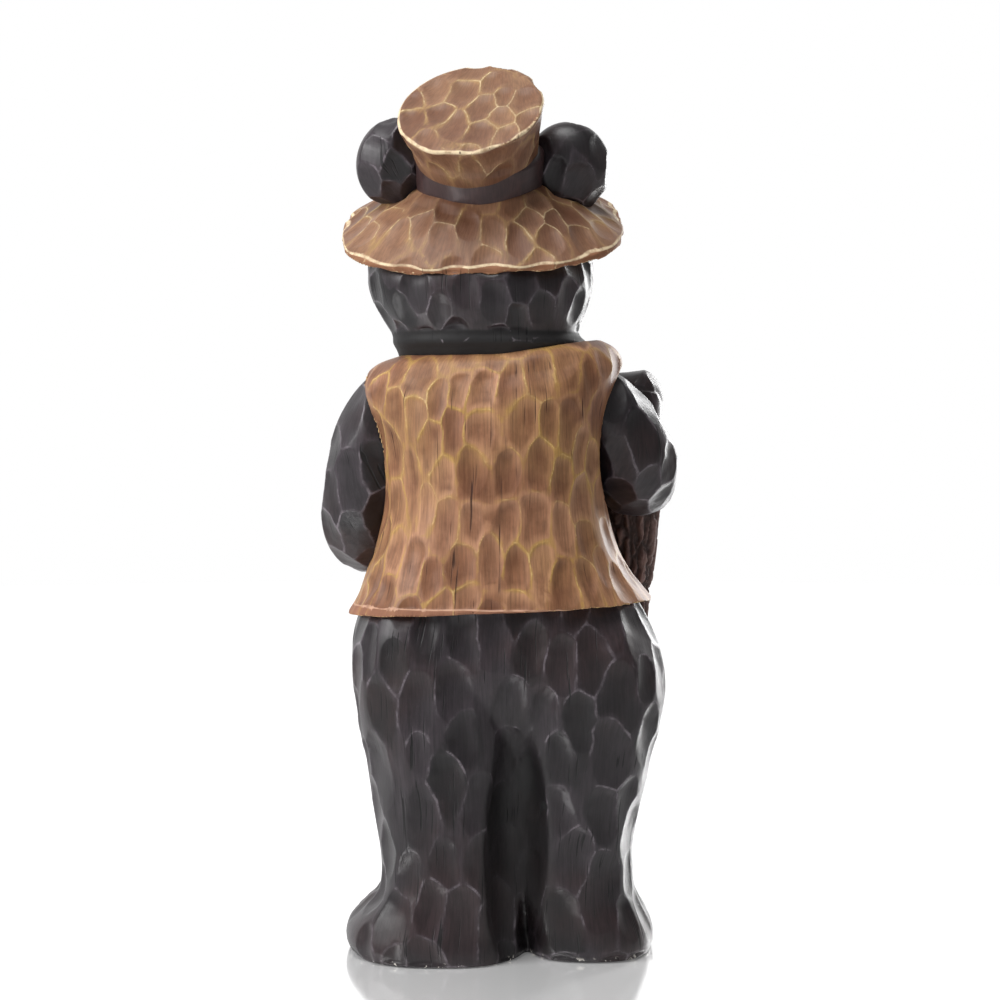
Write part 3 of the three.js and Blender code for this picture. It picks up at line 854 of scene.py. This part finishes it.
head = {
    "rows": [
        [770, -110, 125, -98, 98, 2.4],
        [800, -117, 134, -106, 112, 2.4],
        [812, -120, 140, -110, 120, 2.4],
        [823, -110, 141, -110, 118, 2.4],
        [837, -111, 149, -118, 126, 2.4],
        [865, -122, 166, -130, 136, 2.5],
        [900, -129, 175, -137, 134, 2.5],
        [940, -126, 172, -138, 98, 2.4],
        [985, -104, 150, -124, 48, 2.3],
        [1015, -60, 105, -90, 20, 2.2],
    ],
    "rollTop": 824,  # the neck roll below this height is left smooth, and the fur's finish paints shade on it
    "muzzleAt": (25, -134, 872),
    "muzzleHalf": (62, 74, 48),
    "noseHalf": (27, 17, 19),
    "noseOut": (0, -66, 20),
    "eyeRadius": 12,
    "eyeOut": (46, -4, 58),
    "browHalf": (66, 36, 24),
    "browOut": (0, 20, 82),
    "ears": [((136, 14, 1053), (53, 39, 61), (-20, -10, 8)),
             ((-94, 14, 1046), (57, 39, 62), (-20, -4, -8))],
    "voxel": 2.1,
    "most": 130000,
    "gouge": {"width": 34, "length": 44, "depth": 6.5, "tail": 1.4, "vary": 0.35, "wander": 0.3, "seed": 4},
}


def headForms():
    at = head["muzzleAt"]
    solids = [stack(head["rows"]), ball(at, head["muzzleHalf"], (8, 0, 0)),
              ball(outward(at, head["browOut"]), head["browHalf"])]
    solids += [ball(*ear) for ear in head["ears"]]
    return solids


def noseForms():
    return [ball(outward(head["muzzleAt"], head["noseOut"]), head["noseHalf"])]


def eyeForms():
    x, y, z = head["eyeOut"]
    r = head["eyeRadius"]
    return [ball(outward(head["muzzleAt"], (side * x, y, z)), (r, r, r)) for side in (-1, 1)]


def makeGloss(name, colour, rough):
    material, tree, shader, place = startMaterial(name)
    speckle = noise(tree, place, 240.0, 3.0)
    dark = tuple(c * 0.5 for c in colour[:3]) + (1.0,)
    tree.links.new(blend(tree, speckle, dark, colour), shader.inputs["Base Color"])
    tree.links.new(step(tree, speckle, 0.2, 0.8, rough, rough + 0.15), shader.inputs["Roughness"])
    bump = node(tree, "ShaderNodeBump", {"Height": speckle, "Distance": 0.0006, "Strength": 0.3})
    tree.links.new(bump.outputs[0], shader.inputs["Normal"])
    shader.inputs["Coat Weight"].default_value = 0.5
    shader.inputs["Coat Roughness"].default_value = 0.2
    return material


def glossPiece(name, finish):
    piece = meshOf(name, forms[name])
    piece.data.materials.append(finish)
    piece.data.shade_smooth()
    return keepInside(piece)


hat = {
    "brimCentre": (20, -8, 960),
    "brimTilt": 25,
    "brimHalf": (189, 158),
    "brimSquareness": 2.7,
    "brimEdge": 11,
    "brimRise": 76,
    "brimRoll": 2,
    "crownBase": (24, 20, 1036),
    "crownTop": (36, 93, 1116),
    "crownTilt": (33, 42),
    "crownRoll": (1, 12),
    "crownRadius": 80,
    "crownTopRadius": 97,
    "voxel": 1.8,
    "most": 160000,
    "gouge": {"width": 33, "length": 46, "depth": 4.6, "tail": 1.4, "vary": 0.4, "wander": 0.35, "seed": 6},
    "stain": {
        "deep": srgb(111, 76, 56), "light": srgb(144, 108, 82), "tint": srgb(138, 104, 74), "tinting": 0.5,
        "centre": srgb(102, 64, 44), "sunk": 0.65, "glazeAndHighlight": srgb(160, 128, 80), "glazeAndHighlightAmount": 0.65,
        "worn": srgb(220, 198, 156), "shine": 0.7, "rim": srgb(140, 94, 66), "rimAndShadeAmount": 0.7,
        "lipLine": 0.9, "lipEdge": srgb(228, 208, 172), "crack": srgb(54, 34, 28),
        # the hollow colour is painted shade in creases
        "hollow": srgb(92, 60, 46), "chip": srgb(226, 220, 210), "rough": 0.5, "gloss": 0.35,
        "line": 0.2, "wash": 0.55, "broken": 0.55, "keen": 0.1, "corner": 0.2, "facets": 0.45,
        "cracks": 0.7, "streaks": 0.2,
    },
}


def hatForms():
    rx, ry = hat["brimHalf"]
    rise, edge = hat["brimRise"], hat["brimEdge"]
    brim = [leaning(hat["brimCentre"], (wide, deep), hat["brimTilt"], hat["brimRoll"], z,
                    hat["brimSquareness"], 160) for z, wide, deep in (
        (-3, 120, 104), (-1.5, 160, 134), (0, rx - 5, ry - 5), (3, rx, ry), (edge, rx - 1, ry - 1),
        (edge + 4, rx - 7, ry - 7), (rise * 0.55, rx * 0.73, ry * 0.74),
        (rise * 0.78, rx * 0.54, ry * 0.58), (rise - 2, rx * 0.4, ry * 0.45))]
    r, top = hat["crownRadius"], hat["crownTopRadius"]
    base, peak = np.array(hat["crownBase"]), np.array(hat["crownTop"])
    crown = []
    for share, wide, deep in ((-0.1, r, r), (0.25, r, r), (0.6, r + 7, r + 7), (0.92, top, top + 1),
                              (0.98, top - 1, top), (1, top - 7, top - 6)):
        tilt, roll = (a + (b - a) * share for a, b in (hat["crownTilt"], hat["crownRoll"]))
        crown.append(leaning(base + (peak - base) * share, (wide, deep), tilt, roll))
    return [skin(brim), skin(crown)]


def hatRims(points):  # 1 on the edge of the brim, and a half, which is the worn line, round the crown
    x, y, z = ((points - hat["brimCentre"]) @ leanOf(hat["brimTilt"], hat["brimRoll"])).T
    around = np.arctan2(y, x)
    z = z + 1.4 * np.sin(7 * around) + 0.9 * np.sin(17 * around + 1)
    rx, ry = hat["brimHalf"]
    out = (np.abs(x / rx) ** hat["brimSquareness"] + np.abs(y / ry) ** hat["brimSquareness"])
    out = out ** (1 / hat["brimSquareness"])
    edge = np.clip(1 - np.abs(z - 4.5) / 9, 0, 1) * np.clip((out - 0.9) / 0.06, 0, 1)
    edge = np.clip(edge * 2.2, 0, 1)
    x, y, z = ((points - hat["crownTop"]) @ leanOf(hat["crownTilt"][1], hat["crownRoll"][1])).T
    around = np.arctan2(y, x)
    gap = np.hypot(z + 3 + 1.5 * np.sin(9 * around), np.hypot(x, y) - hat["crownTopRadius"] + 1)
    return np.maximum(edge, 0.5 * np.clip(1.3 - gap / 3, 0, 1))


def bandLean():  # its tilt and its roll
    return hat["crownTilt"][0] - 2, hat["crownRoll"][0] / 2


def besideBand(points):  # left unscooped, so that the band's edges stay crisp
    x, y, z = ((points - hat["crownBase"]) @ leanOf(*bandLean())).T
    near = hat["crownRadius"] + band["proud"] + 16
    return np.clip((near - np.hypot(x, y)) / 12, 0, 1) * np.clip((band["height"] + 8 - z) / 8, 0, 1)


hat["mark"] = hatRims
hat["still"] = besideBand

band = {
    "height": 36,
    "proud": 6,
    "voxel": 1.8,
    "most": 30000,
    "gouge": {"width": 46, "length": 40, "depth": 0.8, "tail": 0.2, "vary": 0.3, "wander": 0.3, "seed": 2},
    "stain": {
        "deep": srgb(52, 34, 35), "light": srgb(66, 46, 46), "tint": srgb(62, 37, 36), "tinting": 0.5,
        "centre": srgb(48, 32, 33), "sunk": 0.4, "glazeAndHighlight": srgb(78, 51, 48), "glazeAndHighlightAmount": 0.4,
        "worn": srgb(128, 106, 106), "shine": 0.5, "rim": srgb(80, 60, 60), "rimAndShadeAmount": 0.0,
        # the hollow colour is painted shade in creases
        "lipLine": 0.0, "lipEdge": srgb(80, 60, 60), "crack": srgb(24, 16, 16), "hollow": srgb(34, 24, 24),
        "chip": srgb(226, 220, 210), "rough": 0.42, "gloss": 0.5, "line": 0.14, "wash": 0.8,
        "broken": 0.8, "keen": 0.2, "corner": 0.16, "facets": 0.4, "cracks": 0.1, "streaks": 0.25,
    },
}


def bandForms():
    r = hat["crownRadius"] + band["proud"]
    high = band["height"]
    return [skin([leaning(hat["crownBase"], (wide, wide), *bandLean(), z)
                  for z, wide in ((-24, r - 2), (0, r), (high, r), (high + 3, r - 5))])]


post = {
    "rows": [
        [0, -188, -92, -174, -84, 2.0],
        [60, -181, -97, -172, -88, 2.0],
        [200, -187, -105, -170, -86, 2.0],
        [400, -210, -122, -167, -81, 2.0],
        [560, -228, -134, -161, -71, 2.0],
        [626, -232, -140, -154, -66, 2.0],
    ],
    "voxel": 1.6,
    "most": 100000,
    "bark": {"width": 15, "length": 95, "depth": 6.5, "fine": 1.2},
}


def makeBarkTree():
    number = "NodeSocketFloat"
    tree, given, result = newGroup("barkRidges", "GeometryNodeTree", [
        ("Geometry", "NodeSocketGeometry", None), ("Width", number, 0.015), ("Length", number, 0.09),
        ("Depth", number, 0.006), ("Fine", number, 0.001), ("Finish", "NodeSocketMaterial", None),
    ], [("Geometry", "NodeSocketGeometry")])
    place = tree.nodes.new("GeometryNodeInputPosition").outputs[0]
    normal = tree.nodes.new("GeometryNodeInputNormal").outputs[0]
    cell = xyz(tree, given.outputs["Width"], given.outputs["Width"], given.outputs["Length"])
    stir = vec(tree, "SUBTRACT", noise(tree, place, 55.0, 3.0, 0.5, "Color"), (0.5, 0.5, 0.5))
    bent = vec(tree, "ADD", vec(tree, "DIVIDE", place, cell), grown(tree, stir, 1.1))
    plates = node(tree, "ShaderNodeTexVoronoi", {"Vector": bent, "Scale": 1.0, "Randomness": 1.0},
                  voronoi_dimensions="3D", feature="DISTANCE_TO_EDGE").outputs["Distance"]
    furrow = step(tree, plates, 0.0, 0.32, 1.0, 0.0)
    strand = noise(tree, vec(tree, "MULTIPLY", place, (1.0, 1.0, 0.12)), 320.0, 4.0, 0.65)
    deep = times(tree, furrow, given.outputs["Depth"])
    deep = plus(tree, deep, times(tree, strand, given.outputs["Fine"]))
    deep = plus(tree, deep, times(tree, noise(tree, place, 18.0, 2.0), 0.003))
    deep = times(tree, deep, step(tree, parts(tree, place)[2], 0.0, 0.005))
    inward = grown(tree, normal, times(tree, deep, -1.0))
    kept = store(tree, given.outputs["Geometry"], "tone", furrow)
    moved = node(tree, "GeometryNodeSetPosition", {"Geometry": kept, "Offset": inward}).outputs[0]
    finishOff(tree, moved, given.outputs["Finish"], result)
    return tree


def makeBarkFinish():
    material, tree, shader, place = startMaterial("bark")
    fibres = noise(tree, vec(tree, "MULTIPLY", place, (1.0, 1.0, 0.1)), 420.0, 4.0, 0.65)
    patch = noise(tree, place, 28.0, 3.0, 0.6)
    colour = blend(tree, step(tree, patch, 0.35, 0.65), srgb(98, 72, 68), srgb(132, 104, 98))
    colour = blend(tree, step(tree, fibres, 0.35, 0.7, 0.0, 0.6), colour, srgb(150, 124, 114))
    colour = blend(tree, times(tree, attribute(tree, "tone"), 0.85), colour, srgb(34, 24, 22))
    worn = step(tree, attribute(tree, "ridge"), 0.15, 0.5, 0.0, 0.45)
    colour = blend(tree, worn, colour, srgb(150, 122, 104))
    tree.links.new(colour, shader.inputs["Base Color"])
    tree.links.new(step(tree, fibres, 0.2, 0.8, 0.65, 0.9), shader.inputs["Roughness"])
    bump = node(tree, "ShaderNodeBump", {"Height": fibres, "Distance": 0.0015, "Strength": 0.7})
    tree.links.new(bump.outputs[0], shader.inputs["Normal"])
    return material


def makePost():
    piece = meshOf("barkPost", forms["barkPost"])
    remesh(piece, post["voxel"])
    bark = post["bark"]
    carve(piece, makeBarkTree(), {
        "Width": bark["width"] * mm, "Length": bark["length"] * mm, "Depth": bark["depth"] * mm,
        "Fine": bark["fine"] * mm, "Finish": makeBarkFinish()})
    thin(piece, post["most"])
    markBends(keepInside(piece))
    print("post barked,", len(piece.data.polygons), "faces")
    return piece


# Every form in one place, then set over to where the frame has the figure
forms = {
    "legs": legForms(),
    "trunk": trunkForms(),
    "arms": armForms(),
    "head": headForms(),
    "vest": [stack(vest["rows"], 140, 10, vestLift)],
    "hat": hatForms(),
    "hatBand": bandForms(),
    "barkPost": [stack(post["rows"], 72, 8)],
    "nose": noseForms(),
    "eyes": eyeForms(),
}
everyPoint = np.vstack([points for solids in forms.values() for points, _ in solids]) * mm
middle = (everyPoint.min(0) + everyPoint.max(0)) / 2
cadMiddle = (np.array(cadLow) + np.array(cadHigh)) / 2
shift = np.array([cadMiddle[0] - middle[0], cadMiddle[1] - middle[1], cadLow[2]])
print("forms drawn, set over by", [round(float(v), 4) for v in shift])

pieces = {
    "carved_bear": [carvedPiece("legs", legs, furStainAndShade), carvedPiece("trunk", trunk, furStainAndShade),
                    carvedPiece("arms", arms, furStainAndShade),
                    carvedPiece("head", head, furStainAndShade, head["rollTop"] * mm + float(shift[2]))],
    "vest_stain": [makeVest()],
    "hat_stain": [carvedPiece("hat", hat, makeStainAndShade("hatStainAndShade", hat["stain"]))],
    "band_stain": [carvedPiece("hatBand", band, makeStainAndShade("bandStainAndShade", band["stain"]))],
    "bark": [makePost()],
    "dark_gloss": [glossPiece("nose", makeGloss("noseGloss", srgb(34, 30, 32), 0.3)),
                   glossPiece("eyes", makeGloss("eyeGloss", srgb(24, 16, 14), 0.12))],
}
for slot, made in pieces.items():
    for piece in made:
        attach(piece, "root")
        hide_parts("carved_bear")
print("pieces ride on the log")


studio = {
    "cameraBack": 3.0, "cameraHeight": 0.7, "aimHeight": 0.601, "lens": 79.4,
    "floor": {"radius": 7.0, "pale": 0.95, "mirror": 0.5, "rough": 0.12, "glow": 0.1, "under": 0.0005},
    "wall": 1.2, "room": 0.21, "fade": (-0.75, -0.1),
    "lamps": [  # name, place, aimed at, size, watts
        ("overhead", (0.4, 0.9, 2.9), (0, 0, 0.6), (1.2, 0.9), 37),
        ("leftBox", (2.5, 1.5, 2.1), (0, 0, 0.8), (1.3, 1.4), 78),
        ("rightEdge", (-1.8, -2.4, 1.2), (0, 0, 0.6), (0.5, 2.0), 60),
    ],
}


def makeFloor():
    mesh = bpy.data.meshes.new("floor")
    disc = bmesh.new()
    values = studio["floor"]
    bmesh.ops.create_circle(disc, cap_ends=True, segments=96, radius=values["radius"])
    disc.to_mesh(mesh)
    disc.free()
    floor = bpy.data.objects.new("floor", mesh)
    bpy.context.collection.objects.link(floor)
    floor.location.z = float(cadLow[2]) - values["under"]
    material = bpy.data.materials.new("paleFloor")
    material.use_nodes = True
    shader = material.node_tree.nodes["Principled BSDF"]
    shader.inputs["Base Color"].default_value = (values["pale"], values["pale"], values["pale"], 1)
    shader.inputs["Metallic"].default_value = values["mirror"]
    shader.inputs["Roughness"].default_value = values["rough"]
    shader.inputs["Emission Color"].default_value = (1, 1, 1, 1)
    shader.inputs["Emission Strength"].default_value = values["glow"]
    mesh.materials.append(material)


def makeLamp(name, at, target, size, watts):
    lamp = bpy.data.lights.new(name, "AREA")
    lamp.shape = "RECTANGLE"
    lamp.size, lamp.size_y = size
    lamp.energy = watts
    holder = bpy.data.objects.new(name, lamp)
    holder.location = at
    holder.rotation_euler = (Vector(target) - Vector(at)).to_track_quat("-Z", "Y").to_euler()
    bpy.context.collection.objects.link(holder)


def makeWorld():  # a white wall beyond the figure, a dimmer room on the camera's side
    world = bpy.data.worlds.new("studio")
    world.use_nodes = True
    tree = world.node_tree
    back = tree.nodes["Background"]
    way = tree.nodes.new("ShaderNodeTexCoord").outputs["Generated"]
    room = step(tree, parts(tree, way)[1], *studio["fade"], studio["wall"], studio["room"])
    seen = tree.nodes.new("ShaderNodeLightPath").outputs["Is Camera Ray"]
    strength = node(tree, "ShaderNodeMapRange", {0: seen, 3: room, 4: 1.0}).outputs[0]
    tree.links.new(strength, back.inputs["Strength"])
    back.inputs["Color"].default_value = (1, 1, 1, 1)
    bpy.context.scene.world = world


def makeCamera():
    cam = bpy.data.cameras.new("camera")
    cam.lens = studio["lens"]
    cam.sensor_width = 36
    holder = bpy.data.objects.new("camera", cam)
    holder.location = (0, studio["cameraBack"], studio["cameraHeight"])
    aim = Vector((0, 0, studio["aimHeight"])) - holder.location
    holder.rotation_euler = aim.to_track_quat("-Z", "Y").to_euler()
    bpy.context.collection.objects.link(holder)
    bpy.context.scene.camera = holder


makeFloor()
makeCamera()
makeWorld()
for lamp in studio["lamps"]:
    makeLamp(*lamp)
bpy.context.scene.view_settings.view_transform = "Standard"
print("studio set")
